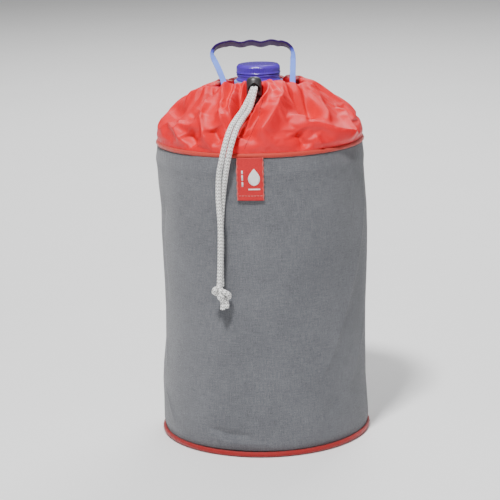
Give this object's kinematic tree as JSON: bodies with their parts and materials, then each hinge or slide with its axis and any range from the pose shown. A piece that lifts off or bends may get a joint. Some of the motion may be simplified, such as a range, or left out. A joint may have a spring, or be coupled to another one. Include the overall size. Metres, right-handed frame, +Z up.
{
  "type": "insulated drawstring bottle carrier",
  "caption": "Padded cylindrical drawstring carrier holding a large water bottle, with a gathered collar, cord lock, sewn label, screw cap and swinging carry handle.",
  "frame": {"origin": "centre of the underside of the base, on the ground", "axes": "+Z up along the bag's axis; -Y towards the front, where the cord lock, drawcord tails and label are; +X to the right seen from the front"},
  "size_m": [0.197, 0.2015, 0.3669],
  "materials": {
    "grey_fabric": "matte fine weave",
    "foam": "closed-cell foam",
    "lining": "silvery coated lining",
    "red_nylon": "satin coated nylon",
    "red_tape": "matte twill tape",
    "cord": "braided cord",
    "black_plastic": "moulded, satin",
    "steel": "spring wire",
    "pet": "clear blown plastic",
    "blue_plastic": "moulded, semi-gloss",
    "violet_plastic": "moulded, glossy"
  },
  "bodies": {
    "bag": {"outer_side_panel": "grey_fabric", "side_foam": "foam", "inner_side_lining": "lining", "outer_base_panel": "grey_fabric", "base_foam": "foam", "inner_base_lining": "lining", "bottom_piping_tape": "red_tape", "bottom_piping_core": "cord", "top_piping_tape": "red_tape", "top_piping_core": "cord", "drawstring_collar": "red_nylon", "label": "red_tape", "drawcord_channel_loop": "cord", "bottle": "pet", "tamper_band": "violet_plastic"},
    "cord_lock": {"cord_lock_housing": "black_plastic", "cord_lock_spring": "steel", "drawcord_left_tail": "cord", "drawcord_right_tail": "cord", "drawcord_knot": "cord", "drawcord_left_end": "cord", "drawcord_right_end": "cord"},
    "lock_plunger": {"cord_lock_plunger": "black_plastic"},
    "cap_seal": {"cap_seal": "lining"},
    "cap": {"screw_cap": "violet_plastic"},
    "handle_ring": {"handle_ring": "blue_plastic"},
    "handle": {"handle": "blue_plastic"}
  },
  "joints": [
    {"name": "cord_pull", "type": "slide", "parent": "bag", "child": "cord_lock", "axis": [0, -0.9342, 0.3567], "range_m": [0, 0.006]},
    {"name": "lock_press", "type": "slide", "parent": "cord_lock", "child": "lock_plunger", "axis": [0, 0.3567, 0.9342], "range_m": [0, 0.0028], "stiffness_N_per_m": 1500, "springref_m": -0.002, "deforming": ["cord_lock_spring"]},
    {"name": "cap_lift", "type": "slide", "parent": "bag", "child": "cap_seal", "axis": [0, 0, 1], "range_m": [0, 0.0076]},
    {"name": "cap_turn", "type": "hinge", "parent": "cap_seal", "child": "cap", "pos_m": [0, 0, 0.3378], "axis": [0, 0, 1], "range_deg": [0, 450]},
    {"name": "ring_turn", "type": "hinge", "parent": "bag", "child": "handle_ring", "pos_m": [0, 0, 0.3225], "axis": [0, 0, 1], "range_deg": [-30, 30]},
    {"name": "handle_swing", "type": "hinge", "parent": "handle_ring", "child": "handle", "pos_m": [0, 0, 0.3225], "axis": [1, 0, 0], "range_deg": [-42, 72]}
  ],
  "couplings": [
    {"joint": "cap_lift", "follows": "cap_turn", "m_per_rad": 0.00095493}
  ]
}
